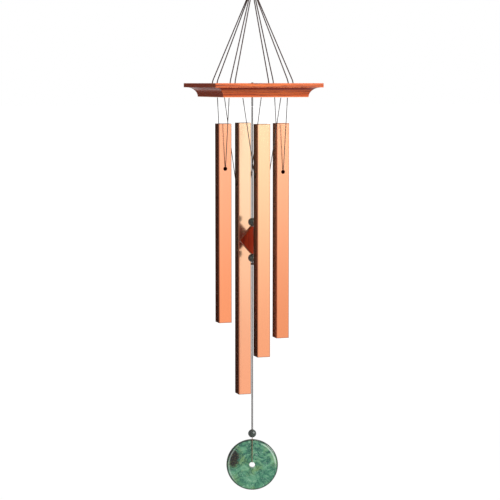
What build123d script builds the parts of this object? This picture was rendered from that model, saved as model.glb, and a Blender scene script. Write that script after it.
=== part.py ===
from build123d import *
import math
import os

# Wind chime: four square tubes, a wooden striker and a stone disc hung under a square board.
# Millimetres, +Z up. The origin is the inside top of the hanging ring, where a hook carries it.
# +X is to the right and -Y to the front, seen with the shortest tube on the left.

# ---- driving dimensions ----
RING_INNER_R = 11.0  # eye of the hanging ring
RING_WIRE_R = 1.5
HEAVY_CORD_R = 0.85  # the cords from the ring to the board
TUBE_CORD_R = 0.575  # the cords that carry the tubes
CENTRE_CORD_R = 0.55  # each strand of the doubled cord down the middle

BINDING_HEIGHT = 9.0  # whipping that ties the heavy cords together under the ring
BINDING_WRAP = 0.95  # thickness of its thread round the cords
HANG_HEIGHT = 131.0  # from the whipping down to the top of the board

BOARD_WIDTH = 158.0
BOARD_THICKNESS = 19.5
BOARD_EDGE = 6.0  # the square part of its edge, above the cove
BOARD_STEP = 3.0  # flat step between the edge and the cove
BOARD_EASE = 0.8  # rounding of its sharp edges
CORNER_REACH = 43.0  # where the heavy cords go through, from the middle along X and along Y
CORNER_HOLES = 7.2  # between the two holes at each corner
GROOVE_DEPTH = 2.2  # of the groove between them, under the board, for the fold of the cord

TUBE_RADIUS = 43.3  # each tube hangs this far from the middle
TUBE_WIDTH = 19.0
TUBE_WALL = 1.5
TUBE_CORNER_R = 1.0
TUBE_DROP = 37.5  # from the underside of the board to the tops of the tubes
TUBE_LENGTHS = {"left": 284.0, "back": 397.5, "front": 329.0, "right": 310.0}
TUBE_NODE = 0.2242  # a free bar's node, from its end, where a hole doesn't damp the note
TUBE_HOLE_R = 2.8
CORD_SPREAD = 28.0  # half the distance between the holes in the board for one tube's cord

NECK_LENGTH = 12.0  # first bend of the centre cord under the board
STRIKER_DEPTH = 224.0  # middle of the striker under the top of the board
STRIKER_HALF_WIDTH = 19.3
STRIKER_HALF_HEIGHT = 21.9
STRIKER_THICKNESS = 10.0
STRIKER_TIP_CUT = 1.9  # its drilled tips are cut flat by this much, for the beads
STRIKER_EASE = 0.8
BEAD_R = 6.0
STRIKER_KNOT_R = 2.1

DISC_DEPTH = 552.0  # middle of the disc under the top of the board
DISC_R = 37.5
DISC_THICKNESS = 6.0
DISC_ROUND = 2.9  # rounding of its rim
DISC_HOLE_R = 4.2
DISC_BEAD_GAP = 2.4  # between the bead and the rim of the disc
DISC_TURN = -19.0  # degrees that the disc hangs turned from the front of the board

# ---- clearances ----
HINGE_GAP = 0.3  # between two pieces of cord that bend against each other
SEAT_GAP = 0.15  # between a cord and what it carries
HOLE_GAP = 0.5  # round a cord in a drilled hole
BORE_GAP = 0.25  # round the doubled cord in a bead or the striker
DISC_BEAD_BORE_GAP = 0.95  # the same in the disc's bead, where the cord turns and parts
STRAND_GAP = 0.3  # between the two strands of the centre cord
KNOT_R = 2.2
KNOT_POCKET_DEPTH = 4.6
KNOT_POCKET_GAP = 0.6

# ---- radii that follow ----
BUNDLE_R = 3.2 * HEAVY_CORD_R  # eight heavy strands side by side in a ring
BINDING_R = BUNDLE_R + HEAVY_CORD_R + BINDING_WRAP
HEAVY_HOLE_R = HEAVY_CORD_R + HOLE_GAP
TUBE_CORD_HOLE_R = TUBE_CORD_R + HOLE_GAP
TUBE_FOLD_R = 2.4 * TUBE_CORD_R  # bend of a tube's cord where it leaves the tube
CENTRE_STRANDS = 2 * CENTRE_CORD_R + STRAND_GAP  # between the middles of the two strands
CENTRE_PAIR_R = CENTRE_STRANDS / 2 + CENTRE_CORD_R
CENTRE_HOLE_R = CENTRE_PAIR_R + HOLE_GAP
BEAD_BORE_R = CENTRE_PAIR_R + BORE_GAP
DISC_BEAD_BORE_R = CENTRE_PAIR_R + DISC_BEAD_BORE_GAP
DISC_FOLD_R = 2 * CENTRE_CORD_R  # bend of the cord where it goes into the disc's hole
CENTRE_KNOT_R = CENTRE_HOLE_R + 1.0
POCKET_R = KNOT_R + KNOT_POCKET_GAP

# ---- heights that follow ----
STRIKER_SEAT = STRIKER_HALF_HEIGHT - STRIKER_TIP_CUT
RING_MIDDLE = -RING_INNER_R
RING_BOTTOM = -2 * RING_INNER_R - RING_WIRE_R  # middle of the wire at its lowest point
LOOP_R = RING_WIRE_R + HINGE_GAP + HEAVY_CORD_R  # the loops go over the wire with this radius
BINDING_TOP = RING_BOTTOM - LOOP_R - HEAVY_CORD_R
BINDING_BOTTOM = BINDING_TOP - BINDING_HEIGHT
BOARD_TOP = BINDING_BOTTOM - HANG_HEIGHT
BOARD_BOTTOM = BOARD_TOP - BOARD_THICKNESS
TUBE_TOP = BOARD_BOTTOM - TUBE_DROP
STRIKER_MIDDLE = BOARD_TOP - STRIKER_DEPTH
UPPER_BEAD = STRIKER_MIDDLE + STRIKER_SEAT + BEAD_R
LOWER_BEAD = STRIKER_MIDDLE - STRIKER_SEAT - BEAD_R
STRIKER_KNOT = LOWER_BEAD - BEAD_R - SEAT_GAP - STRIKER_KNOT_R
DISC_MIDDLE = BOARD_TOP - DISC_DEPTH
DISC_BEAD = DISC_MIDDLE + DISC_R + DISC_BEAD_GAP + BEAD_R

nodes = {}
radii = []


def rod(start, end, radius):
    """A round rod with ball ends, so that it can bend against what it hangs from."""
    start, end = Vector(*start), Vector(*end)
    plane = Plane(origin=start, z_dir=end - start)
    shaft = plane * extrude(Circle(radius), (end - start).length)
    return shaft + Pos(*start) * Sphere(radius) + Pos(*end) * Sphere(radius)


def cord(points, bends, radius, balls=False):
    """A tube of cord along straight runs joined by tangent arcs, one radius for each bend."""
    path = FilletPolyline(*points, radius=bends)
    section = Plane(origin=path @ 0, z_dir=path % 0) * Circle(radius)
    tube = sweep(section, path=path)
    if balls:
        tube += Pos(*points[0]) * Sphere(radius)
        tube += Pos(*points[-1]) * Sphere(radius)
    radii.extend(bends)
    return tube


def bored(solid, radius, x, y, z, length):
    """The solid with a vertical hole of that length, its middle at x, y, z."""
    return solid - Pos(x, y, z) * Cylinder(radius, length)


def turned(solid, degrees):
    return Rot(0, 0, degrees) * solid


def strands(top, bottom):
    """The doubled centre cord between two heights, as two rods side by side."""
    half = CENTRE_STRANDS / 2
    return [
        rod((side * half, 0, top), (side * half, 0, bottom), CENTRE_CORD_R)
        for side in (-1, 1)
    ]


def hanging_ring():
    """Closed steel ring, its hole facing the front."""
    return Pos(0, 0, RING_MIDDLE) * Rot(90, 0, 0) * Torus(RING_INNER_R + RING_WIRE_R, RING_WIRE_R)


def ring_binding():
    """Four cords looped over the wire of the ring and whipped together under it."""
    whipping = Pos(0, 0, (BINDING_TOP + BINDING_BOTTOM) / 2) * Cylinder(BINDING_R, BINDING_HEIGHT)
    binding = fillet(whipping.edges(), BINDING_R / 4)
    ring_r = RING_INNER_R + RING_WIRE_R
    spacing = 2.05 * HEAVY_CORD_R
    for place in (-1.5, -0.5, 0.5, 1.5):
        x = place * spacing
        middle = RING_BOTTOM + ring_r - math.sqrt(ring_r**2 - x**2)
        foot = BINDING_TOP - BINDING_R / 4
        path = Line((x, -LOOP_R, foot), (x, -LOOP_R, middle))
        path += ThreePointArc((x, -LOOP_R, middle), (x, 0, middle + LOOP_R), (x, LOOP_R, middle))
        path += Line((x, LOOP_R, middle), (x, LOOP_R, foot))
        section = Pos(x, -LOOP_R, foot) * Circle(HEAVY_CORD_R)
        binding += sweep(section, path=path)
    return binding


def bundle_place(angle):
    """Where a heavy cord enters the bottom of the whipping."""
    height = BINDING_BOTTOM - SEAT_GAP - HEAVY_CORD_R / 2  # its end is square to its slant
    turn = math.radians(angle)
    return (BUNDLE_R * math.cos(turn), BUNDLE_R * math.sin(turn), height)


def suspension_cord(side_x, side_y):
    """One cord from the whipping down through the board at a corner, along its groove and back up."""
    corner = math.degrees(math.atan2(side_y, side_x))
    lean = 20.0  # degrees between each end and the corner's own direction
    outer_x = side_x * (CORNER_REACH + CORNER_HOLES / 2)
    inner_x = side_x * (CORNER_REACH - CORNER_HOLES / 2)
    y = side_y * CORNER_REACH
    entry = BOARD_TOP + HEAVY_HOLE_R  # upright from here down
    under = BOARD_BOTTOM + GROOVE_DEPTH - HINGE_GAP - HEAVY_CORD_R
    ease = -side_x * side_y * lean
    points = [
        bundle_place(corner + ease),
        (outer_x, y, entry),
        (outer_x, y, under),
        (inner_x, y, under),
        (inner_x, y, entry),
        bundle_place(corner - ease),
    ]
    edge_bend, fold = 3.0, 2 * HEAVY_CORD_R
    return cord(points, [edge_bend, fold, fold, edge_bend], HEAVY_CORD_R)


def board():
    """Square board with a cove moulding cut round its underside, mitred at the corners."""
    half = BOARD_WIDTH / 2
    cove_r = BOARD_THICKNESS - BOARD_EDGE
    cove_x = half - BOARD_STEP
    foot_x = cove_x - cove_r
    middle_of_arc = cove_r * math.sin(math.radians(45))
    outline = Polyline((0, BOARD_BOTTOM), (0, BOARD_TOP), (half, BOARD_TOP))
    outline += Line((half, BOARD_TOP), (half, BOARD_TOP - BOARD_EDGE))
    outline += Line((half, BOARD_TOP - BOARD_EDGE), (cove_x, BOARD_TOP - BOARD_EDGE))
    outline += ThreePointArc(
        (cove_x, BOARD_TOP - BOARD_EDGE),
        (cove_x - middle_of_arc, BOARD_BOTTOM + middle_of_arc),
        (foot_x, BOARD_BOTTOM),
    )
    outline += Line((foot_x, BOARD_BOTTOM), (0, BOARD_BOTTOM))
    profile = make_face(outline)
    profile += mirror(profile, Plane.YZ)
    bar = extrude(Plane.XZ * profile, half, both=True)
    blank = bar & turned(bar, 90)
    sharp = blank.edges().filter_by(Axis.Z).group_by(Axis.Z)[-1]
    sharp += blank.faces().sort_by(Axis.Z)[-1].edges()
    blank = fillet(sharp, BOARD_EASE)
    for side_x in (-1, 1):
        for side_y in (-1, 1):
            for shift in (-CORNER_HOLES / 2, CORNER_HOLES / 2):
                x = side_x * CORNER_REACH + shift
                blank = drilled(blank, HEAVY_HOLE_R, x, side_y * CORNER_REACH)
            groove = Box(CORNER_HOLES, 2 * HEAVY_HOLE_R, 2 * GROOVE_DEPTH)
            blank -= Pos(side_x * CORNER_REACH, side_y * CORNER_REACH, BOARD_BOTTOM) * groove
            for reach_x, reach_y in ((TUBE_RADIUS, CORD_SPREAD), (CORD_SPREAD, TUBE_RADIUS)):
                x, y = side_x * reach_x, side_y * reach_y
                blank = pocketed(drilled(blank, TUBE_CORD_HOLE_R, x, y), POCKET_R, x, y)
    return pocketed(drilled(blank, CENTRE_HOLE_R, 0, 0), CENTRE_KNOT_R + KNOT_POCKET_GAP, 0, 0)


def drilled(blank, radius, x, y):
    """The board with a hole down through it."""
    return bored(blank, radius, x, y, BOARD_TOP, 3 * BOARD_THICKNESS)


def pocketed(blank, radius, x, y):
    """The board with a pocket for a knot in its top."""
    return bored(blank, radius, x, y, BOARD_TOP, 2 * KNOT_POCKET_DEPTH)


def stub(x, y, radius, knot_r):
    """The end of a cord in its hole, with the knot that stops it in the pocket."""
    floor = BOARD_TOP - KNOT_POCKET_DEPTH
    knot_middle = floor + math.sqrt(knot_r**2 - radius**2) + SEAT_GAP
    shaft = Pos(x, y, BOARD_BOTTOM) * extrude(Circle(radius), knot_middle - BOARD_BOTTOM)
    return shaft + Pos(x, y, knot_middle) * Sphere(knot_r)


def tube(length):
    """Square tube, open at both ends, with one hole across it at its node, along X."""
    outer = RectangleRounded(TUBE_WIDTH, TUBE_WIDTH, TUBE_CORNER_R)
    bore = TUBE_WIDTH - 2 * TUBE_WALL
    inner = RectangleRounded(bore, bore, TUBE_CORNER_R / 2)
    walls = Pos(0, 0, TUBE_TOP - length) * extrude(outer - inner, length)
    hole = Rot(0, 90, 0) * Cylinder(TUBE_HOLE_R, 2 * TUBE_WIDTH)
    return walls - Pos(0, 0, TUBE_TOP - TUBE_NODE * length) * hole


def tube_cord(length):
    """The cord of one tube: down from the board, across through the tube and up again, in XZ."""
    top = BOARD_BOTTOM - TUBE_CORD_R - HINGE_GAP
    across = cord_height(length)
    corner = TUBE_WIDTH / 2 + 0.86 * TUBE_FOLD_R  # so that the bend starts at the tube's face
    points = [(CORD_SPREAD, 0, top), (corner, 0, across), (-corner, 0, across), (-CORD_SPREAD, 0, top)]
    return cord(points, [TUBE_FOLD_R, TUBE_FOLD_R], TUBE_CORD_R, balls=True)


def cord_height(length):
    """Height of the cord where it crosses the tube: against the top of the tube's hole."""
    return TUBE_TOP - TUBE_NODE * length + TUBE_HOLE_R - TUBE_CORD_R - SEAT_GAP


def bead(height, bore_r):
    return bored(Pos(0, 0, height) * Sphere(BEAD_R), bore_r, 0, 0, height, 4 * BEAD_R)


def striker():
    """Flat lozenge of wood hung by its point, drilled from tip to tip."""
    corners = [
        (0, STRIKER_HALF_HEIGHT),
        (STRIKER_HALF_WIDTH, 0),
        (0, -STRIKER_HALF_HEIGHT),
        (-STRIKER_HALF_WIDTH, 0),
    ]
    lozenge = make_face(Polyline(*corners, close=True))
    seat = STRIKER_SEAT - HINGE_GAP
    lozenge &= Rectangle(2 * STRIKER_HALF_WIDTH, 2 * seat)
    block = extrude(Plane.XZ * lozenge, STRIKER_THICKNESS / 2, both=True)
    block = fillet(block.edges().filter_by(Axis.Y), STRIKER_EASE)
    block = fillet(block.faces().sort_by(Axis.Y)[0].edges(), STRIKER_EASE)
    block = fillet(block.faces().sort_by(Axis.Y)[-1].edges(), STRIKER_EASE)
    block = Pos(0, 0, STRIKER_MIDDLE) * block
    return bored(block, BEAD_BORE_R, 0, 0, STRIKER_MIDDLE, 4 * STRIKER_HALF_HEIGHT)


def loop_height():
    """Height of the cord where it crosses the disc: against the top of the disc's hole."""
    return DISC_MIDDLE + DISC_HOLE_R - CENTRE_CORD_R - SEAT_GAP


def disc_loop():
    """The centre cord's end: down one face of the disc, through its hole and up the other, in YZ."""
    face = DISC_THICKNESS / 2 + DISC_FOLD_R
    rim = DISC_MIDDLE + DISC_R
    inside = CENTRE_STRANDS / 2
    in_bead = rim + DISC_BEAD_GAP + 0.8  # the strands part just inside the bead
    shoulder = face - 0.85  # and come this near to the disc's faces at its rim
    side = [
        (0, inside, DISC_BEAD),
        (0, inside, in_bead),
        (0, shoulder, rim),
        (0, face, rim - DISC_ROUND + HINGE_GAP),
    ]
    hole = loop_height()
    points = side + [(0, face, hole), (0, -face, hole)] + [(0, -y, z) for x, y, z in side[::-1]]
    bends = [1.5, 3.0, 4.0, DISC_FOLD_R, DISC_FOLD_R, 4.0, 3.0, 1.5]
    return cord(points, bends, CENTRE_CORD_R)


def wind_disc():
    """Round stone disc with a rounded rim and a hole in its middle."""
    disc = Pos(0, 0, DISC_MIDDLE) * Rot(90, 0, 0) * Cylinder(DISC_R, DISC_THICKNESS)
    disc = fillet(disc.edges(), DISC_ROUND)
    hole = Pos(0, 0, DISC_MIDDLE) * Rot(90, 0, 0) * Cylinder(DISC_HOLE_R, 2 * DISC_THICKNESS)
    return disc - hole


nodes["hanging_ring"] = [hanging_ring()]
nodes["ring_binding"] = [ring_binding()]
nodes["canopy"] = [board()]
for name_y, side_y in (("back", 1), ("front", -1)):
    for name_x, side_x in (("left", -1), ("right", 1)):
        nodes[f"suspension_cord_{name_y}_{name_x}"] = [suspension_cord(side_x, side_y)]

# Each tube is made over the middle with its cord across it along X, then turned to its side.
SIDE_ANGLES = {"front": 0.0, "right": 90.0, "back": 180.0, "left": 270.0}
for side, length in TUBE_LENGTHS.items():
    place = Rot(0, 0, SIDE_ANGLES[side]) * Pos(0, -TUBE_RADIUS, 0)
    nodes[f"{side}_tube"] = [place * tube(length)]
    nodes[f"{side}_tube_cord"] = [place * tube_cord(length)]
    nodes[f"{side}_tube_knots"] = [
        place * stub(x, 0, TUBE_CORD_R, KNOT_R) for x in (-CORD_SPREAD, CORD_SPREAD)
    ]

NECK_TOP = BOARD_BOTTOM - CENTRE_CORD_R - HINGE_GAP
NECK_BOTTOM = NECK_TOP - NECK_LENGTH
CORD_TOP = NECK_BOTTOM - 2 * CENTRE_CORD_R - HINGE_GAP
nodes["centre_cord_knot"] = [stub(0, 0, CENTRE_PAIR_R, CENTRE_KNOT_R)]
nodes["centre_cord_neck"] = strands(NECK_TOP, NECK_BOTTOM)
nodes["striker_cord"] = strands(CORD_TOP, STRIKER_KNOT + STRIKER_KNOT_R + SEAT_GAP + CENTRE_CORD_R)
nodes["upper_striker_bead"] = [bead(UPPER_BEAD, BEAD_BORE_R)]
nodes["striker"] = [striker()]
nodes["lower_striker_bead"] = [bead(LOWER_BEAD, BEAD_BORE_R)]
nodes["striker_knot"] = [Pos(0, 0, STRIKER_KNOT) * Sphere(STRIKER_KNOT_R)]

DISC_CORD_TOP = STRIKER_KNOT - STRIKER_KNOT_R - HINGE_GAP - CENTRE_CORD_R
DISC_CORD_BOTTOM = DISC_BEAD + HINGE_GAP + CENTRE_CORD_R
disc_pieces = {
    "disc_cord": strands(DISC_CORD_TOP, DISC_CORD_BOTTOM),
    "disc_bead": [bead(DISC_BEAD, DISC_BEAD_BORE_R)],
    "disc_loop": [disc_loop()],
    "wind_disc": [wind_disc()],
}
for name, solids in disc_pieces.items():
    nodes[name] = [turned(solid, DISC_TURN) for solid in solids]

os.makedirs("parts", exist_ok=True)
for name, solids in nodes.items():
    shape = solids[0] if len(solids) == 1 else Compound(children=solids)
    export_step(shape, f"parts/{name}.step")
print("nodes", len(nodes))
print("cord bend radii", sorted(set(round(r, 2) for r in radii)))
print("overall height", round(RING_WIRE_R * 2 - (DISC_MIDDLE - DISC_R), 1))
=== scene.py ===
import math
import random

import bpy
from mathutils import Matrix, Vector


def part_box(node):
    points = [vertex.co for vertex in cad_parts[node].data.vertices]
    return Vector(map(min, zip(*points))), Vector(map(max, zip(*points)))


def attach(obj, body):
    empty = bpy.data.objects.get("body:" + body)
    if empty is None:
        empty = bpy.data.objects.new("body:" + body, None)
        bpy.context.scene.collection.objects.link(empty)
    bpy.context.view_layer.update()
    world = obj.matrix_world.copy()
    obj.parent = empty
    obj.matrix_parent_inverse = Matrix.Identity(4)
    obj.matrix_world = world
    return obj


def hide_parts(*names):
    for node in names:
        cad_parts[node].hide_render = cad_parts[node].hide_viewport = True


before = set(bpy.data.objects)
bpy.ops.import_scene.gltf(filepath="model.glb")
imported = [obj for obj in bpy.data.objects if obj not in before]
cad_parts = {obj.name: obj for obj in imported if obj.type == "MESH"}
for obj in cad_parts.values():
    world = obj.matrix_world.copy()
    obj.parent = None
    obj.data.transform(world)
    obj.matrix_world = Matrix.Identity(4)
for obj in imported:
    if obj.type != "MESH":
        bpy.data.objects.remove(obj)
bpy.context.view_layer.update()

MM = 0.001

# ---- Hanging ring ----
# A closed ring of round steel wire, welded and bright plated, that drops over a hook.
# Everything else hangs from it, so its top carries fine rubbed lines from the hook.

RING_STEEL = (176, 174, 170)
RING_RUBBED = (214, 213, 210)
RING_DULL = (120, 117, 112)


def tint(colour):
    """A colour from its everyday 0 to 255 values, as light values."""
    parts = [value / 255 for value in colour]
    return tuple(p / 12.92 if p <= 0.04045 else ((p + 0.055) / 1.055) ** 2.4 for p in parts)


class Value:
    """A value or a colour in a finish, so that the finish can be written as plain sums."""

    def __init__(self, finish, socket):
        self.finish = finish
        self.socket = socket

    def sum(self, operation, first, second=None):
        inputs = {0: first} if second is None else {0: first, 1: second}
        return self.finish.node("ShaderNodeMath", {"operation": operation}, inputs)

    def __add__(self, other):
        return self.sum("ADD", self, other)

    def __sub__(self, other):
        return self.sum("SUBTRACT", self, other)

    def __mul__(self, other):
        return self.sum("MULTIPLY", self, other)

    def __pow__(self, other):
        return self.sum("POWER", self, other)

    def __rsub__(self, other):
        return self.sum("SUBTRACT", other, self)

    __radd__ = __add__
    __rmul__ = __mul__

    def __abs__(self):
        return self.sum("ABSOLUTE", self)

    def wave(self):
        """Goes smoothly between 0 and 1 as the value grows."""
        return self.sum("SINE", self) * 0.5 + 0.5

    def between(self, low, high):
        """0 at low, 1 at high, with soft ends; low may be the greater."""
        settings = {"interpolation_type": "SMOOTHSTEP"}
        return self.finish.node("ShaderNodeMapRange", settings, {0: self, 1: low, 2: high})


class Finish:
    """The nodes of one material, or of the studio's surroundings."""

    def __init__(self, tree):
        self.tree = tree
        tree.nodes.clear()

    def node(self, kind, settings=None, inputs=None, output=0):
        """Adds a node, sets it up, feeds its sockets and returns one of its outputs."""
        made = self.tree.nodes.new(kind)
        for name, value in (settings or {}).items():
            setattr(made, name, value)
        for name, value in (inputs or {}).items():
            socket = made.inputs[name]
            if isinstance(value, Value):
                self.tree.links.new(value.socket, socket)
            elif isinstance(value, tuple) and socket.type == "RGBA":
                socket.default_value = (*value, 1.0)
            else:
                socket.default_value = value
        return Value(self, made.outputs[output]) if made.outputs else made

    def mix(self, amount, first, second):
        """A colour that goes from first to second."""
        inputs = {0: amount, 6: first, 7: second}
        return self.node("ShaderNodeMix", {"data_type": "RGBA"}, inputs, 2)

    def place(self):
        """Where a point of the piece is, in metres."""
        return self.node("ShaderNodeTexCoord", output="Object")

    def along(self, place):
        """A place's three parts."""
        return [
            self.node("ShaderNodeSeparateXYZ", None, {0: place}, axis)
            for axis in ("X", "Y", "Z")
        ]

    def stretched(self, place, scale):
        """The place with each axis scaled by its own number."""
        return self.node("ShaderNodeVectorMath", {"operation": "MULTIPLY"}, {0: place, 1: scale})

    def cloud(self, place, scale, detail=3.0, rough=0.5, bend=0.0):
        """Soft uneven patches, from about 0 to 1."""
        inputs = {"Vector": place, "Scale": scale, "Detail": detail, "Roughness": rough}
        inputs["Distortion"] = bend
        return self.node("ShaderNodeTexNoise", None, inputs, "Fac")

    def relief(self, height, depth, strength=1.0):
        """A normal from a height from 0 to 1, which stands for this depth in metres."""
        inputs = {"Strength": strength, "Distance": depth, "Height": height}
        return self.node("ShaderNodeBump", None, inputs)


def finish_for(name, make, **fixed):
    """A material: make works out what changes over the surface, fixed holds what doesn't."""
    material = bpy.data.materials.new(name)
    material.use_nodes = True
    finish = Finish(material.node_tree)
    inputs = make(finish)
    for socket, value in fixed.items():
        inputs[socket.replace("_", " ").title().replace("Ior", "IOR")] = value
    shader = finish.node("ShaderNodeBsdfPrincipled", None, inputs)
    finish.node("ShaderNodeOutputMaterial", None, {"Surface": shader})
    return material


def repaint(node, material):
    """Gives a part of the frame its finish."""
    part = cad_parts[node]
    for slot in part.material_slots:
        slot.material = material
    return part


def ring_steel(steel):
    place = steel.place()
    height = steel.along(place)[2]
    lines = steel.cloud(steel.stretched(place, (900.0, 5000.0, 900.0)), 1.0, 2.0)
    patches = steel.cloud(place, 260.0)
    wear_and_highlight = height.between(-6 * MM, -1 * MM) * lines.between(0.35, 0.6)
    colour = steel.mix(patches.between(0.35, 0.75), tint(RING_STEEL), tint(RING_DULL))
    return {
        "Base Color": steel.mix(wear_and_highlight, colour, tint(RING_RUBBED)),
        "Roughness": 0.2 + patches * 0.16 + wear_and_highlight * 0.12,
        "Normal": steel.relief(lines, 0.02 * MM, 0.4),
    }


repaint("hanging_ring", finish_for("ring_steel", ring_steel, metallic=1.0))

# ---- Binding under the ring ----
# The four heavy cords are braided nylon. Each is folded over the ring's wire, so that eight
# strands come down, and a thinner waxed thread is whipped round them, close turn by close turn.

HEAVY_CORD = 1.7 * MM  # across
HEAVY_LAY = 5.0 * MM  # along one turn of its plies
WHIPPING_THREAD = 0.95 * MM
WHIPPING_LAY = 2.4 * MM
WHIPPING_TURNS = 9
WHIPPING_STEPS = 14  # places along each turn
BUNDLE_RADIUS = 2.72 * MM  # of the circle that the eight strands' middles stand on
BUNDLE_PLACES = (155, 115, 65, 25)  # degrees, of the loops' strands, from left to right
LOOP_SPACING = 1.74 * MM  # between neighbouring loops on the wire
LOOP_FOOT = 1.0 * MM  # from the wire's middle down to where a loop turns in to the bundle
LOOP_TUCK = 0.3 * MM  # from the whipping's bottom up to the ends of the loops
HINGE_GAP = 0.3 * MM  # between two pieces that bend against each other
CORNERS = {"back_left": (-1, 1), "back_right": (1, 1), "front_left": (-1, -1), "front_right": (1, -1)}
HEAVY_DARK = (24, 11, 9)
HEAVY_LIGHT = (62, 32, 25)
THREAD_DARK = (20, 11, 9)
THREAD_LIGHT = (48, 28, 22)


def taken_line(points, spacing):
    """The smooth line that a cord takes between its holding points, as evenly spaced places."""
    curve = bpy.data.curves.new("line", "CURVE")
    curve.dimensions = "3D"
    curve.resolution_u = 32
    spline = curve.splines.new("NURBS")
    spline.points.add(len(points) - 1)
    for held, point in zip(spline.points, points):
        held.co = (*point, 1.0)
    spline.order_u = 3
    spline.use_endpoint_u = True
    holder = bpy.data.objects.new("line", curve)
    bpy.context.collection.objects.link(holder)
    shown = holder.evaluated_get(bpy.context.evaluated_depsgraph_get())
    read = bpy.data.meshes.new_from_object(shown)
    line = [vertex.co.copy() for vertex in read.vertices]
    bpy.data.objects.remove(holder)
    bpy.data.curves.remove(curve)
    bpy.data.meshes.remove(read)
    whole = length_of(line)
    wanted = [whole * step / round(whole / spacing) for step in range(round(whole / spacing) + 1)]
    even, passed = [], 0.0
    for start, end in zip(line, line[1:]):
        run = (end - start).length
        while wanted and run > 0 and wanted[0] <= passed + run:
            even.append(start.lerp(end, (wanted.pop(0) - passed) / run))
        passed += run
    return even + [line[-1]] * len(wanted)


def length_of(line):
    """How long a cord is that follows this line."""
    return sum((end - start).length for start, end in zip(line, line[1:]))


def twisted_cord(line, radius, plies, lay, sides, depth=0.16, round_ends=True):
    """Vertices and faces of a cord of plies twisted together, one whole turn in each lay."""
    vertices, faces = [], []
    ahead = (line[1] - line[0]).normalized()
    out = ahead.orthogonal().normalized()
    passed = 0.0
    last = len(line) - 1
    for count, middle in enumerate(line):
        now = (line[min(count + 1, last)] - line[max(count - 1, 0)]).normalized()
        out = (ahead.rotation_difference(now) @ out).normalized()
        ahead = now
        across = ahead.cross(out)
        passed += (middle - line[count - 1]).length if count else 0.0
        end = min(count, last - count)
        taper = (0.55, 0.92)[end] if round_ends and end < 2 else 1.0
        for side in range(sides):
            turn = 2 * math.pi * side / sides
            ply = abs(math.cos((turn - 2 * math.pi * passed / lay) * plies / 2))
            reach = radius * taper * (1 - depth + depth * ply**0.7)
            vertices.append(middle + (out * math.cos(turn) + across * math.sin(turn)) * reach)
    for ring in range(last):
        for side in range(sides):
            a, b = ring * sides + side, ring * sides + (side + 1) % sides
            faces.append((a, b, b + sides, a + sides))
    faces.append(tuple(range(sides))[::-1])
    faces.append(tuple(last * sides + side for side in range(sides)))
    return vertices, faces


def piece(name, parts, material, body, replaced=()):
    """One piece from the vertices and faces of its parts, riding on its body."""
    mesh = bpy.data.meshes.new(name)
    vertices, faces = [], []
    for part_vertices, part_faces in parts:
        faces += [tuple(corner + len(vertices) for corner in face) for face in part_faces]
        vertices += part_vertices
    mesh.from_pydata(vertices, [], faces)
    mesh.materials.append(material)
    mesh.shade_smooth()
    made = bpy.data.objects.new(name, mesh)
    bpy.context.collection.objects.link(made)
    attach(made, body)
    if replaced:
        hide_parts(*replaced)
    return made


def cord_finish(dark, light, fibre):
    """Waxed fibre: fine darker and paler filaments along a soft, slightly shiny cord."""

    def make(cord):
        place = cord.place()
        fibres = cord.cloud(cord.stretched(place, (1.0, 1.0, 0.35)), fibre, 2.0, 0.6)
        tone = cord.cloud(place, 60.0, 2.0)
        amount = fibres.between(0.3, 0.75) * (0.55 + tone * 0.6)
        return {
            "Base Color": cord.mix(amount, tint(dark), tint(light)),
            "Roughness": 0.5 + fibres * 0.3,
            "Normal": cord.relief(fibres, 0.06 * MM, 0.6),
        }

    return make


heavy_cord = finish_for("heavy_cord", cord_finish(HEAVY_DARK, HEAVY_LIGHT, 2600.0))
waxed_thread = finish_for("waxed_thread", cord_finish(THREAD_DARK, THREAD_LIGHT, 3600.0))

ring_low, ring_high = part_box("hanging_ring")
board_low, board_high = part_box("canopy")
wire_radius = (ring_high.y - ring_low.y) / 2
wire_middle = ring_low.z + wire_radius
loop_radius = wire_radius + HINGE_GAP + HEAVY_CORD / 2
whipping_top = wire_middle - loop_radius - HEAVY_CORD / 2
whipping_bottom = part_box("ring_binding")[0].z


def bundle_place(degrees, height):
    turn = math.radians(degrees)
    return Vector((BUNDLE_RADIUS * math.cos(turn), BUNDLE_RADIUS * math.sin(turn), height))


def heavy_strand(line):
    return twisted_cord(line, HEAVY_CORD / 2, 3, HEAVY_LAY, 16)


def mirrored(points):
    """The same places on the other side of the XZ plane, in the order that carries on from them."""
    return [Vector((point.x, -point.y, point.z)) for point in points[::-1]]


loops = []
for count, angle in enumerate(BUNDLE_PLACES):
    x = (count - 1.5) * LOOP_SPACING
    half = [
        bundle_place(angle, whipping_bottom + LOOP_TUCK),
        bundle_place(angle, whipping_top),
        Vector((x, loop_radius, wire_middle - LOOP_FOOT)),
        Vector((x, loop_radius, wire_middle + loop_radius)),
    ]
    loops.append(heavy_strand(taken_line(half + mirrored(half), 0.45 * MM)))
piece("cord_loops", loops, heavy_cord, "hanger", ["ring_binding"])

winding = []
rise = (whipping_top - whipping_bottom - WHIPPING_THREAD) / WHIPPING_TURNS
reach = (BUNDLE_RADIUS + HEAVY_CORD / 2 + WHIPPING_THREAD / 2) * 1.01
for step in range(WHIPPING_TURNS * WHIPPING_STEPS + 1):
    turn = 2 * math.pi * step / WHIPPING_STEPS
    height = whipping_bottom + WHIPPING_THREAD / 2 + rise * step / WHIPPING_STEPS
    winding.append(Vector((reach * math.cos(turn), reach * math.sin(turn), height)))
winding.insert(0, Vector((BUNDLE_RADIUS * 0.4, -BUNDLE_RADIUS * 0.5, winding[0].z)))
winding.append(Vector((BUNDLE_RADIUS * 0.4, BUNDLE_RADIUS * 0.5, winding[-1].z)))
whipping = twisted_cord(taken_line(winding, 0.4 * MM), WHIPPING_THREAD / 2, 2, WHIPPING_LAY, 10)
piece("whipping", [whipping], waxed_thread, "hanger", ["ring_binding"])

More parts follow.
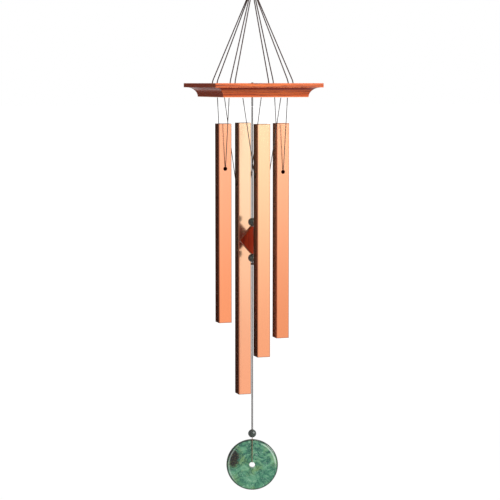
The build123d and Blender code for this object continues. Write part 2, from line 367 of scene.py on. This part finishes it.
# ---- Board ----
# A square board of open-grained hardwood, stained cherry and lacquered. Its edge is square above
# and run to a cove below, and every cord goes through a hole drilled in it.

BOARD_ORANGE = (178, 68, 22)
BOARD_AMBER = (202, 100, 36)
BOARD_LIP_HIGHLIGHT = (240, 146, 78)
BOARD_BROWN = (118, 36, 12)
BOARD_PORE = (84, 30, 14)
BOARD_END_GRAIN_AND_SHADE = (104, 32, 22)
BOARD_UNDER_EDGE_SHADE = (120, 22, 10)  # painted shade in the band under the square edge
BOARD_EDGE = 6.0 * MM  # the square part of its edge
UNDER_EDGE_SHADE_DEPTH = 5.5 * MM
PITH = (0.09, -0.11)  # the tree's middle, below the board and behind it, in Y and Z


def board_wood(wood):
    place = wood.place()
    y, z = wood.along(place)[1:]
    slow = wood.cloud(wood.stretched(place, (7.0, 28.0, 28.0)), 1.0, 2.0)
    fine = wood.cloud(wood.stretched(place, (30.0, 420.0, 420.0)), 1.0, 4.0, 0.6)
    across, down = y - PITH[0], z - (board_low.z + PITH[1])
    ring = (across * across + down * down) ** 0.5 + slow * 0.016
    late = (ring * 1500.0).wave() ** 2.2
    pores = wood.cloud(wood.stretched(place, (60.0, 1500.0, 1500.0)), 1.0, 1.0).between(0.6, 0.7)
    colour = wood.mix(slow.between(0.3, 0.7), tint(BOARD_ORANGE), tint(BOARD_AMBER))
    colour = wood.mix(late * fine.between(0.25, 0.65) * 0.9, colour, tint(BOARD_BROWN))
    colour = wood.mix(pores * (0.35 + late * 0.5), colour, tint(BOARD_PORE))
    # End grain takes the stain darker, and this darkening is also painted shade on the board's end
    # faces.
    facing = wood.along(wood.node("ShaderNodeTexCoord", output="Normal"))[0]
    end_grain_and_shade = abs(facing).between(0.6, 0.85)
    colour = wood.mix(end_grain_and_shade * 0.55, colour, tint(BOARD_END_GRAIN_AND_SHADE))
    recess = board_high.z - BOARD_EDGE
    # Painted shade: a darker band at the top of the cove, just under the square edge.
    under_edge_shade = z.between(recess - UNDER_EDGE_SHADE_DEPTH, recess - 0.8 * MM)
    under_edge_shade = under_edge_shade * z.between(recess + 0.1 * MM, recess - 0.2 * MM)
    colour = wood.mix(under_edge_shade * (0.8 + slow * 0.3), colour, tint(BOARD_UNDER_EDGE_SHADE))
    # Painted highlight: a paler line along the bottom lip of the cove, broken up by the grain.
    wear_and_highlight = z.between(board_low.z + 1.4 * MM, board_low.z + 0.3 * MM)
    colour = wood.mix(wear_and_highlight * fine.between(0.2, 0.6) * 0.8, colour, tint(BOARD_LIP_HIGHLIGHT))
    return {
        "Base Color": colour,
        "Roughness": 0.34 + pores * 0.25 + end_grain_and_shade * 0.1 + fine * 0.1,
        "Normal": wood.relief(1 - pores * 0.7 - late * 0.3, 0.08 * MM, 0.5),
    }


canopy_wood = finish_for(
    "canopy_wood", board_wood, coat_weight=0.12, coat_roughness=0.16, specular_ior_level=0.25
)
repaint("canopy", canopy_wood)

# ---- Heavy cords ----
# Each of the four goes from the whipping down through one hole near its corner of the board,
# along a groove under it and up through the next, and so carries the board in a fold of cord.

CORNER_REACH = 43.0 * MM
CORNER_HOLES = 7.2 * MM
HEAVY_HOLE_RADIUS = 1.35 * MM
GROOVE_DEPTH = 2.2 * MM  # under the board, between a corner's two holes
CORD_LEAN = 20.0  # degrees between a strand's place in the bundle and its corner's direction
TAUT_RUN = 6  # a taut cord is straight from this many diameters past a bend
SEAT_GAP = 0.15 * MM  # between a cord and what it carries or is held by


def nearer(start, end, distance):
    """The place this far from start, towards end."""
    return start + (end - start).normalized() * distance


for corner, (side_x, side_y) in CORNERS.items():
    angle = math.degrees(math.atan2(side_y, side_x))
    lean = -side_x * side_y * CORD_LEAN
    start = whipping_bottom - SEAT_GAP - HEAVY_CORD / 4
    above = board_high.z + HEAVY_HOLE_RADIUS
    under = board_low.z + GROOVE_DEPTH - HEAVY_CORD / 2 - HINGE_GAP
    strand_places = []
    for side, turned in ((1, lean), (-1, -lean)):
        x = side_x * (CORNER_REACH + side * CORNER_HOLES / 2)
        y = side_y * CORNER_REACH
        bound = bundle_place(angle + turned, start)
        entry, fold = Vector((x, y, above)), Vector((x, y, under))
        over = nearer(entry, bound, TAUT_RUN * HEAVY_CORD)
        strand_places.append([bound, over, entry, nearer(fold, entry, CORNER_HOLES), fold])
    line = taken_line(strand_places[0] + strand_places[1][::-1], 0.5 * MM)
    parts = [heavy_strand(line)]
    name = f"suspension_cord_{corner}"
    held = piece(f"heavy_cord_{corner}", parts, heavy_cord, "board", [name])
    length_of(line)

# ---- Tubes ----
# Four lengths of square aluminium tube, drawn, polished and anodised copper, open at both ends.
# The cut ends and the drilled hole, at the node where a hole doesn't damp the note, are darkened with
# painted shade.

# Painted reflection: each tube's colour at its top and at its bottom, paler above as if brighter
# surroundings showed there, and set tube by tube for the way each one faces.
TUBE_PAINTED_REFLECTIONS = {
    "left": ((249, 176, 138), (242, 150, 105)),
    "back": ((253, 214, 176), (240, 163, 124)),
    "front": ((253, 208, 164), (240, 160, 118)),
    "right": ((248, 180, 141), (232, 145, 102)),
}
TUBE_END_AND_HOLE_SHADE = (70, 32, 22)
TUBE_INSIDE_SHADE = (150, 92, 66)
TUBE_EDGE_SHADE = (128, 66, 44)  # painted shade along the rounded edges
TUBE_FLAT = 8.5 * MM  # from a tube's middle to where its faces turn into the edges
TUBE_WITHIN = 8.3 * MM  # nearer to its middle than this is inside it
NODE_SHARE = 0.2242  # how far down the tube its hole is
TUBE_HOLE_RADIUS = 2.8 * MM


def tube_metal(side):
    low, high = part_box(f"{side}_tube")
    upper, lower = TUBE_PAINTED_REFLECTIONS[side]
    middle = (low + high) / 2
    hole_height = high.z - NODE_SHARE * (high.z - low.z)
    crossed = 0 if side in ("front", "back") else 1  # the axis that the hole runs along

    def make(metal):
        place = metal.place()
        axes = metal.along(place)
        z = axes[2]
        drawn = metal.cloud(metal.stretched(place, (2600.0, 2600.0, 14.0)), 1.0, 3.0, 0.6)
        patches = metal.cloud(metal.stretched(place, (40.0, 40.0, 12.0)), 1.0, 3.0)
        # Painted reflection: paler towards the top of the tube.
        colour = metal.mix(z.between(low.z, high.z), tint(lower), tint(upper))
        colour = metal.mix(patches.between(0.35, 0.8) * 0.12, colour, tint(lower))
        lower_end = z.between(low.z + 0.9 * MM, low.z + 0.25 * MM)
        upper_end = z.between(high.z - 0.9 * MM, high.z - 0.25 * MM)
        beside = axes[1 - crossed] - middle[1 - crossed]
        down = z - hole_height
        from_hole = (beside * beside + down * down) ** 0.5
        drilled = from_hole.between(TUBE_HOLE_RADIUS + 0.5 * MM, TUBE_HOLE_RADIUS)
        off_x, off_y = abs(axes[0] - middle.x), abs(axes[1] - middle.y)
        # Painted shade on the inside walls of the open tube.
        inside = off_x.between(TUBE_WITHIN + 0.6 * MM, TUBE_WITHIN)
        inside = inside * off_y.between(TUBE_WITHIN + 0.6 * MM, TUBE_WITHIN)
        colour = metal.mix(inside, colour, tint(TUBE_INSIDE_SHADE))
        # Painted shade: a dark line along each rounded edge.
        edge_shade = off_x.between(TUBE_FLAT - 0.1 * MM, TUBE_FLAT + 0.2 * MM)
        edge_shade = edge_shade * off_y.between(TUBE_FLAT - 0.1 * MM, TUBE_FLAT + 0.2 * MM)
        colour = metal.mix(edge_shade * 0.8, colour, tint(TUBE_EDGE_SHADE))
        # Painted shade at the cut ends and round the drilled hole.
        dark = (lower_end + upper_end + drilled * 0.8).between(0.0, 1.0)
        return {
            "Base Color": metal.mix(dark * 0.85, colour, tint(TUBE_END_AND_HOLE_SHADE)),
            "Roughness": 0.1 + drawn * 0.08 + patches * 0.05 + dark * 0.2 + inside * 0.25,
            "Normal": metal.relief(drawn, 0.01 * MM, 0.12),
        }

    return make


for side in TUBE_PAINTED_REFLECTIONS:
    repaint(f"{side}_tube", finish_for(f"tube_metal_{side}", tube_metal(side), metallic=1.0))

# ---- Tube cords ----
# Each tube hangs in one thin waxed cord, which comes down from a hole in the board, crosses
# through the tube and goes up to the next hole. A knot in a pocket in the board's top stops each end.

THIN_CORD = 1.15 * MM
THIN_LAY = 3.0 * MM
CORD_SPREAD = 28.0 * MM
CORD_TURN = 10.9 * MM  # where the cord bends up, from the tube's middle
SIDE_ANGLES = {"left": 270, "back": 180, "front": 0, "right": 90}
TUBE_REACH = 43.3 * MM
KNOT_REACH = 1.25 * MM  # of the turns' middles, from the cord's
POCKET_DEPTH = 4.6 * MM
KNOT_HEIGHT = 2.25 * MM  # of the knot's middle, over the floor of its pocket
KNOT_STEPS = 12  # places along each turn of a knot
KNOT_TAIL = Vector((0.5 * MM, 0.4 * MM, 2.0 * MM))  # from the knot's middle to the cord's cut end
STRAND_INSET = 0.1 * MM  # from the board's underside up to the ends of the knots' strands
THIN_DARK = (22, 15, 12)
THIN_LIGHT = (60, 44, 36)

thin_cord = finish_for("thin_cord", cord_finish(THIN_DARK, THIN_LIGHT, 4200.0))


def stopper_knot(middle, reach, cord_radius, turns):
    """A pulled-up stopper knot: the cord's end wound closely round itself and tucked away."""
    points = []
    rise = 2 * cord_radius / KNOT_STEPS
    for step in range(turns * KNOT_STEPS + 1):
        turn = 2 * math.pi * step / KNOT_STEPS
        height = (step - turns * KNOT_STEPS / 2) * rise
        points.append(middle + Vector((reach * math.cos(turn), reach * math.sin(turn), height)))
    points.insert(0, middle + Vector((0, -reach * 0.4, points[0].z - middle.z)))
    points.append(middle + Vector((0, reach * 0.4, points[-1].z - middle.z)))
    return twisted_cord(taken_line(points, 0.35 * MM), cord_radius, 2, THIN_LAY, 10)


def thin_strand(line, cord_radius):
    return twisted_cord(line, cord_radius, 2, THIN_LAY, 12)


def straight(start, end, cord_radius):
    """A straight strand of thin cord with round ends."""
    return thin_strand(taken_line([start, end], 0.45 * MM), cord_radius)


for side, angle in SIDE_ANGLES.items():
    tube_low, tube_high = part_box(f"{side}_tube")
    hole_height = tube_high.z - NODE_SHARE * (tube_high.z - tube_low.z)
    cross = hole_height + TUBE_HOLE_RADIUS - THIN_CORD / 2 - SEAT_GAP
    top = board_low.z - THIN_CORD / 2 - HINGE_GAP
    turned = Matrix.Rotation(math.radians(angle), 3, "Z")
    halves = []
    for hand in (1, -1):
        hole = Vector((hand * CORD_SPREAD, -TUBE_REACH, top))
        bend = Vector((hand * CORD_TURN, -TUBE_REACH, cross))
        within = Vector((0, -TUBE_REACH, cross))
        run = TAUT_RUN * THIN_CORD
        halves.append([hole, nearer(bend, hole, run), bend, nearer(bend, within, run)])
    points = [turned @ point for point in halves[0] + halves[1][::-1]]
    line = taken_line(points, 0.4 * MM)
    parts = [thin_strand(line, THIN_CORD / 2)]
    node = f"{side}_tube_cord"
    held = piece(f"{side}_thin_cord", parts, thin_cord, f"{side}_cord", [node])
    length_of(line)
    knots = []
    knot_middle = board_high.z - POCKET_DEPTH + KNOT_HEIGHT
    for hand in (1, -1):
        hole = turned @ Vector((hand * CORD_SPREAD, -TUBE_REACH, board_low.z + STRAND_INSET))
        knot = Vector((hole.x, hole.y, knot_middle))
        tail = knot + KNOT_TAIL
        knots.append(straight(hole, knot, THIN_CORD / 2))
        knots.append(straight(knot, tail, THIN_CORD / 2))
        knots.append(stopper_knot(knot, KNOT_REACH, THIN_CORD / 2, 3))
    piece(f"{side}_cord_knots", knots, thin_cord, "board", [f"{side}_tube_knots"])

# ---- Centre cord ----
# One long thin cord, doubled and knotted above the board, hangs down the middle through the
# striker and its beads. A knot under the lower bead carries them.

STRAND = 1.1 * MM  # across
STRAND_OFFSET = 0.7 * MM  # each strand's middle, from the middle of the pair
PAIR_KNOT_REACH = 1.6 * MM  # of the turns' middles, in a knot round both strands
PAIR_KNOT_HEIGHT = 2.6 * MM  # of the upper knot's middle, over the floor of its pocket
PAIR_TAIL = 3.2 * MM  # of the strands above that knot's middle
JOIN = 0.1 * MM  # how far a strand reaches into the gap at a hinge


def pair(top, bottom, side, turned=0.0):
    """One of the two strands between two heights, as its line."""
    reach = Vector((math.cos(turned), math.sin(turned), 0)) * side * STRAND_OFFSET
    return [reach + Vector((0, 0, height)) for height in (top, bottom)]


def hung_strand(name, node, side, body, turned=0.0):
    """One strand of a stretch of the centre cord, as long as its node in the frame."""
    low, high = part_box(node)
    line = taken_line(pair(high.z + JOIN, low.z - JOIN, side, turned), 0.45 * MM)
    parts = [thin_strand(line, STRAND / 2)]
    held = piece(name, parts, thin_cord, body, [node])
    length_of(line)


centre_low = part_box("centre_cord_knot")[0].z
centre_knot = Vector((0, 0, board_high.z - POCKET_DEPTH + PAIR_KNOT_HEIGHT))
parts = [stopper_knot(centre_knot, PAIR_KNOT_REACH, STRAND / 2, 4)]
for side in (-1, 1):
    start, end = pair(centre_knot.z + PAIR_TAIL, centre_low + STRAND_INSET, side)
    parts.append(straight(start, end, STRAND / 2))
piece("centre_knot", parts, thin_cord, "board", ["centre_cord_knot"])

neck_low, neck_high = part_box("centre_cord_neck")
parts = [
    straight(*pair(neck_high.z + JOIN, neck_low.z - JOIN, side), STRAND / 2)
    for side in (-1, 1)
]
neck = piece("centre_neck", parts, thin_cord, "neck", ["centre_cord_neck"])
hung_strand("striker_strand_left", "striker_cord", -1, "striker_line")
hung_strand("striker_strand_right", "striker_cord", 1, "striker_line")

# ---- Striker and its beads ----
# A flat lozenge of the same stained wood, hung by its point and drilled from tip to tip,
# between two turned beads of dark green stone.

# The striker's wood is painted darker than the board's: the same stain, with painted shade for where
# it hangs between the tubes.
STRIKER_CHERRY_AND_SHADE = (152, 50, 24)
STRIKER_RED = (96, 22, 12)
STRIKER_PORE = (48, 14, 8)
STRIKER_EDGE_HIGHLIGHT = (146, 74, 30)
STRIKER_HALF_WIDTH = 19.3 * MM
STRIKER_HALF_HEIGHT = 21.9 * MM
BEAD_RADIUS = 6.0 * MM
BEAD_BORE = 1.5 * MM  # radius of its hole
BEAD_SIDES = 48
BEAD_ROWS = 28
BEAD_DARK = (10, 15, 13)
BEAD_GREEN = (44, 58, 50)
BEAD_PALE = (92, 102, 90)


def striker_wood(wood):
    place = wood.place()
    x, y, z = wood.along(place)
    slow = wood.cloud(wood.stretched(place, (60.0, 60.0, 14.0)), 1.0, 2.0)
    ring = (x + y * 0.35 + slow * 0.012) * 1700.0
    late = ring.wave() ** 2.0
    fine = wood.cloud(wood.stretched(place, (700.0, 700.0, 45.0)), 1.0, 3.0, 0.6)
    pores = wood.cloud(wood.stretched(place, (1700.0, 1700.0, 80.0)), 1.0, 1.0).between(0.6, 0.7)
    colour = wood.mix(slow.between(0.3, 0.7), tint(STRIKER_CHERRY_AND_SHADE), tint(STRIKER_RED))
    colour = wood.mix(late * fine.between(0.2, 0.7) * 0.6, colour, tint(STRIKER_RED))
    colour = wood.mix(pores * 0.6, colour, tint(STRIKER_PORE))
    low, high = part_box("striker")
    # Painted highlight: paler along the lozenge's outline.
    upward = abs(z - (low.z + high.z) / 2) * (1 / STRIKER_HALF_HEIGHT)
    wear_and_highlight = (upward + abs(x) * (1 / STRIKER_HALF_WIDTH)).between(0.955, 0.995)
    colour = wood.mix(wear_and_highlight * 0.6, colour, tint(STRIKER_EDGE_HIGHLIGHT))
    return {
        "Base Color": colour,
        "Roughness": 0.3 + pores * 0.25 + fine * 0.12,
        "Normal": wood.relief(1 - pores * 0.8 - late * 0.2, 0.07 * MM, 0.5),
    }


def bead_stone(stone):
    place = stone.place()
    spots = stone.cloud(place, 420.0, 5.0, 0.62, 0.4)
    bands = stone.cloud(place, 150.0, 3.0, 0.5, 1.2)
    colour = stone.mix(spots.between(0.35, 0.62), tint(BEAD_DARK), tint(BEAD_GREEN))
    colour = stone.mix(bands.between(0.58, 0.72) * 0.6, colour, tint(BEAD_PALE))
    return {
        "Base Color": colour,
        "Roughness": 0.2 + spots * 0.14,
        "Normal": stone.relief(spots, 0.05 * MM, 0.25),
    }


def bead_shape(height, bore, seed):
    """A turned stone bead: a slightly uneven ball with a drilled hole and eased edges to it."""
    uneven = random.Random(seed)
    waves = [
        (uneven.randint(2, 4), uneven.uniform(0, 6.28), uneven.uniform(0.002, 0.006))
        for _ in range(3)
    ]
    outline = []
    start = math.asin((bore + 0.55 * MM) / BEAD_RADIUS)
    for step in range(BEAD_ROWS + 1):
        turn = start + (math.pi - 2 * start) * step / BEAD_ROWS
        outline.append((BEAD_RADIUS * math.sin(turn), BEAD_RADIUS * math.cos(turn)))
    rim = outline[0][1]
    lip = [
        (bore + 0.22 * MM, rim - 0.02 * MM),
        (bore + 0.05 * MM, rim - 0.22 * MM),
        (bore, rim - 0.6 * MM),
    ]
    outline = lip[::-1] + outline + [(reach, -z) for reach, z in lip]
    vertices, faces = [], []
    for reach, z in outline:
        ball = max(0.0, (reach - bore) / BEAD_RADIUS)
        for side in range(BEAD_SIDES):
            turn = 2 * math.pi * side / BEAD_SIDES
            dents = sum(
                depth * (1 + math.sin(count * turn + lag + z * 400))
                for count, lag, depth in waves
            )
            out = reach * (1 - dents * ball)
            vertices.append(Vector((out * math.cos(turn), out * math.sin(turn), height + z)))
    rows = len(outline)
    for row in range(rows):
        here, below = row * BEAD_SIDES, (row + 1) % rows * BEAD_SIDES
        for side in range(BEAD_SIDES):
            beside = (side + 1) % BEAD_SIDES
            faces.append((here + side, below + side, below + beside, here + beside))
    return vertices, faces


repaint("striker", finish_for("striker_wood", striker_wood, specular_ior_level=0.03))
polished_stone = finish_for("bead_stone", bead_stone, coat_weight=0.15, coat_roughness=0.1)
for seed, node in enumerate(("upper_striker_bead", "lower_striker_bead")):
    low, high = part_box(node)
    parts = [bead_shape((low.z + high.z) / 2, BEAD_BORE, seed)]
    piece(node.replace("striker_", ""), parts, polished_stone, "striker_line", [node])

knot_low, knot_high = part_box("striker_knot")
knot = (knot_low + knot_high) / 2
parts = [stopper_knot(knot, PAIR_KNOT_REACH, STRAND / 2, 3)]
for side in (-1, 1):
    parts.append(straight(*pair(knot_high.z + JOIN, knot_low.z - JOIN, side), STRAND / 2))
piece("striker_stop_knot", parts, thin_cord, "striker_line", ["striker_knot"])

# ---- Wind disc ----
# A flat round of marbled green stone with a rounded, polished rim. The doubled cord goes through
# a bead, parts over the disc's edge and meets itself through the hole in its middle.

DISC_TURN = math.radians(-19)
DISC_HOLE = 4.2 * MM
DISC_THICKNESS = 6.0 * MM
DISC_BEAD_BORE = 2.2 * MM
DISC_GREEN = (66, 128, 98)
DISC_JADE = (122, 172, 138)
DISC_TEAL = (12, 78, 66)
DISC_OLIVE = (96, 134, 78)
DISC_BLACK = (10, 11, 6)
DISC_SPECK = (170, 150, 84)
DISC_VEIN = (172, 206, 186)
DISC_RIM_SHADE = (14, 28, 22)
DISC_GLINT = (206, 224, 212)
LOOP_DARK = (70, 44, 28)
LOOP_LIGHT = (128, 92, 62)
PATCH_PLACE = (-28.0 * MM, 11.0 * MM)  # middle of the black patch, aside and up from the hole
PATCH_RADIUS = 17.0 * MM
GLINT_INSIDE, GLINT_OUTSIDE = 32.4 * MM, 35.2 * MM  # radii of the ring of painted highlight on the rounded rim
SHADED_RIM_RADIUS = 35.0 * MM  # where the painted shade of the rim begins
PARTING = 3.2 * MM  # over the disc's edge, where the cord's strands part
SHOULDER = 0.85 * MM  # how far in from its line on the face the cord passes the edge
ROUND_DEPTH = 2.6 * MM  # down from the edge to where the cord comes to the face


def disc_stone(stone):
    place = stone.place()
    x, y, z = stone.along(place)
    middle_z = sum(corner.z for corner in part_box("wind_disc")) / 2
    up = z - middle_z
    aside = x * math.cos(DISC_TURN) + y * math.sin(DISC_TURN)
    broad = stone.cloud(place, 34.0, 4.0, 0.6, 0.8)
    drift = stone.cloud(place, 62.0, 6.0, 0.62, 1.8)
    grain = stone.cloud(place, 420.0, 5.0, 0.68, 0.6)
    colour = stone.mix(broad.between(0.42, 0.66), tint(DISC_GREEN), tint(DISC_OLIVE))
    colour = stone.mix(drift.between(0.48, 0.72) * 0.8, colour, tint(DISC_JADE))
    teal = 1 - abs(drift - 0.44).between(0.0, 0.08)
    upper = up.between(-30.0 * MM, 25.0 * MM)
    colour = stone.mix(teal * (0.7 + upper * 0.3), colour, tint(DISC_TEAL))
    thread = 1 - abs(stone.cloud(place, 62.0, 6.0, 0.7, 1.0) - 0.5).between(0.0, 0.014)
    colour = stone.mix(thread * grain.between(0.42, 0.6) * 0.7, colour, tint(DISC_VEIN))
    colour = stone.mix(grain.between(0.3, 0.42) * -0.25 + 0.25, colour, tint(DISC_TEAL))
    left = aside - PATCH_PLACE[0]
    over = up - PATCH_PLACE[1]
    near = (left * left + over * over * 0.42) ** 0.5
    patch = near.between(PATCH_RADIUS, 0.0) + (grain - 0.5) * 1.9 + (drift - 0.5) * 1.6
    within = near.between(PATCH_RADIUS + 1.0 * MM, 6.0 * MM)
    specks = stone.cloud(place, 900.0, 2.0, 0.6).between(0.6, 0.68) * within
    colour = stone.mix(patch.between(0.22, 0.62) * within, colour, tint(DISC_BLACK))
    colour = stone.mix(specks * 0.4, colour, tint(DISC_SPECK))
    reach = (aside * aside + up * up) ** 0.5
    # Painted highlight: a pale ring just inside the dark rim, on the upper right and fainter on the
    # left.
    glint_ring = reach.between(GLINT_INSIDE, GLINT_INSIDE + 1.2 * MM)
    glint_ring = glint_ring * reach.between(GLINT_OUTSIDE, GLINT_OUTSIDE - 1.0 * MM)
    right = aside.between(8.0 * MM, 20.0 * MM) * up.between(-6.0 * MM, 8.0 * MM)
    other = aside.between(-20.0 * MM, -29.0 * MM) * 0.5
    colour = stone.mix(glint_ring * (right + other) * 0.6, colour, tint(DISC_GLINT))
    # Painted shade: a dark band over the rounded rim.
    rim = reach.between(SHADED_RIM_RADIUS, SHADED_RIM_RADIUS + 1.2 * MM)
    colour = stone.mix(rim * 0.85, colour, tint(DISC_RIM_SHADE))
    return {
        "Base Color": colour,
        "Roughness": 0.14 + grain * 0.12,
        "Normal": stone.relief(grain, 0.05 * MM, 0.15),
    }


loop_cord = finish_for("loop_cord", cord_finish(LOOP_DARK, LOOP_LIGHT, 4200.0))
hung_strand("disc_strand_left", "disc_cord", -1, "disc_line", DISC_TURN)
hung_strand("disc_strand_right", "disc_cord", 1, "disc_line", DISC_TURN)

low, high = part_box("disc_bead")
bead_middle = (low.z + high.z) / 2
parts = [bead_shape(bead_middle, DISC_BEAD_BORE, 7)]
piece("disc_cord_bead", parts, polished_stone, "disc_hanger", ["disc_bead"])

disc_low, disc_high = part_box("wind_disc")
rim_top = disc_high.z
hole_line = (disc_low.z + disc_high.z) / 2 + DISC_HOLE - STRAND / 2 - SEAT_GAP
face = DISC_THICKNESS / 2 + STRAND
front_side = [  # from the bead down one face of the disc to its hole
    Vector((0, STRAND_OFFSET, bead_middle)),
    Vector((0, STRAND_OFFSET, rim_top + PARTING)),
    Vector((0, face - SHOULDER, rim_top)),
    Vector((0, face, rim_top - ROUND_DEPTH)),
    Vector((0, face, hole_line + TAUT_RUN * STRAND)),
    Vector((0, face, hole_line)),
]
turned = Matrix.Rotation(DISC_TURN, 3, "Z")
line = taken_line([turned @ point for point in front_side + mirrored(front_side)], 0.4 * MM)
parts = [thin_strand(line, STRAND / 2)]
held = piece("disc_loop_cord", parts, loop_cord, "disc_hanger", ["disc_loop"])
length_of(line)
marbled_stone = finish_for(
    "disc_stone", disc_stone, coat_weight=0.15, coat_roughness=0.08, specular_ior_level=0.35
)
repaint("wind_disc", marbled_stone)

# ---- Studio ----
# A pale floor below the chime, white all round, a large soft lamp at the front right and a weak
# one above. A dark card stands behind on the left, so that the bright metal shows a dark edge.

FLOOR_HEIGHT = -1.05
UNDER_LIGHT = 0.08  # of the open surroundings, from below and behind
OVER_LIGHT = 0.5  # and from above and in front
CAMERA_TURN = math.radians(-18.1)
CAMERA_DISTANCE = 2.4
CAMERA_TIP = math.radians(5.675)
CAMERA_LENS = 120.9
CAMERA_ASIDE = -3.2 * MM

scene = bpy.context.scene


def white_all_round(surroundings):
    """1 for rays that see the surroundings themselves, in the open or in a reflection."""
    seen = [
        surroundings.node("ShaderNodeLightPath", output=ray)
        for ray in ("Is Camera Ray", "Is Glossy Ray", "Is Transmission Ray")
    ]
    return (seen[0] + seen[1] + seen[2]).between(0.0, 0.5)


world = bpy.data.worlds.new("studio")
scene.world = world
world.use_nodes = True
air = Finish(world.node_tree)
ahead, height = air.along(air.node("ShaderNodeTexCoord", output="Generated"))[1:]
light = UNDER_LIGHT + (OVER_LIGHT - UNDER_LIGHT) * (height - ahead * 0.6).between(-0.8, 0.8)
shade = air.node("ShaderNodeBackground", None, {"Color": (1.0, 1.0, 1.0), "Strength": light})
white = air.node("ShaderNodeBackground", None, {"Color": (1.0, 1.0, 1.0), "Strength": 1.0})
both = air.node("ShaderNodeMixShader", None, {0: white_all_round(air), 1: shade, 2: white})
air.node("ShaderNodeOutputWorld", None, {"Surface": both})


def flat_card(name, middle, across, up, material):
    """A flat sheet of the stage, given by its middle and its two half sides."""
    mesh = bpy.data.meshes.new(name)
    corners = [middle - across - up, middle + across - up, middle + across + up, middle - across + up]
    mesh.from_pydata(corners, [], [(0, 1, 2, 3)])
    mesh.materials.append(material)
    card = bpy.data.objects.new(name, mesh)
    bpy.context.collection.objects.link(card)
    return card


def stage_paper(name, colour, near_glow, far_glow):
    """Paper that takes shadows. Where rays see it directly it also glows, more so far away."""
    material = bpy.data.materials.new(name)
    material.use_nodes = True
    paper = Finish(material.node_tree)
    x, y = paper.along(paper.place())[:2]
    far = ((x * x + y * y) ** 0.5).between(1.0, 5.0)
    lit = paper.node("ShaderNodeBsdfDiffuse", None, {"Color": colour})
    light = paper.node("ShaderNodeEmission", None, {"Color": (1.0, 1.0, 1.0), "Strength": 1.12})
    amount = white_all_round(paper) * (near_glow + (far_glow - near_glow) * far)
    both = paper.node("ShaderNodeMixShader", None, {0: amount, 1: lit, 2: light})
    paper.node("ShaderNodeOutputMaterial", None, {"Surface": both})
    return material


floor_paper = stage_paper("floor_paper", (0.6, 0.6, 0.6), near_glow=0.82, far_glow=1.0)
flat_card(
    "floor", Vector((0, 0, FLOOR_HEIGHT)),
    across=Vector((60, 0, 0)), up=Vector((0, 60, 0)), material=floor_paper,
)
black_paper = stage_paper("black_paper", (0.03, 0.02, 0.018), near_glow=0.0, far_glow=0.0)
card = flat_card(
    "card", Vector((-0.33, 0.8, -0.35)),
    across=Vector((0.25, 0.06, 0)), up=Vector((0, 0, 0.7)), material=black_paper,
)
card.visible_camera = False
card.visible_shadow = False
card.visible_diffuse = False


def soft_lamp(name, place, towards, size, power):
    lamp = bpy.data.lights.new(name, "AREA")
    lamp.shape = "SQUARE"
    lamp.size = size
    lamp.energy = power
    held = bpy.data.objects.new(name, lamp)
    held.location = place
    held.rotation_euler = (Vector(towards) - Vector(place)).to_track_quat("-Z", "Y").to_euler()
    bpy.context.collection.objects.link(held)


soft_lamp("key", (1.5, -2.2, 0.7), (0, 0, -0.4), 1.4, 95)
soft_lamp("top", (0.2, -0.3, 1.6), (0, 0, -0.2), 1.2, 22)

camera = bpy.data.cameras.new("camera")
camera.lens = CAMERA_LENS
camera.sensor_width = 36.0
held = bpy.data.objects.new("camera", camera)
right = Vector((math.cos(CAMERA_TURN), math.sin(CAMERA_TURN), 0))
back = Vector((math.sin(CAMERA_TURN), -math.cos(CAMERA_TURN), 0))
held.location = back * CAMERA_DISTANCE + right * CAMERA_ASIDE + Vector((0, 0, board_high.z))
held.rotation_euler = (math.pi / 2 - CAMERA_TIP, 0, CAMERA_TURN)
bpy.context.collection.objects.link(held)
scene.camera = held
scene.view_settings.view_transform = "Standard"
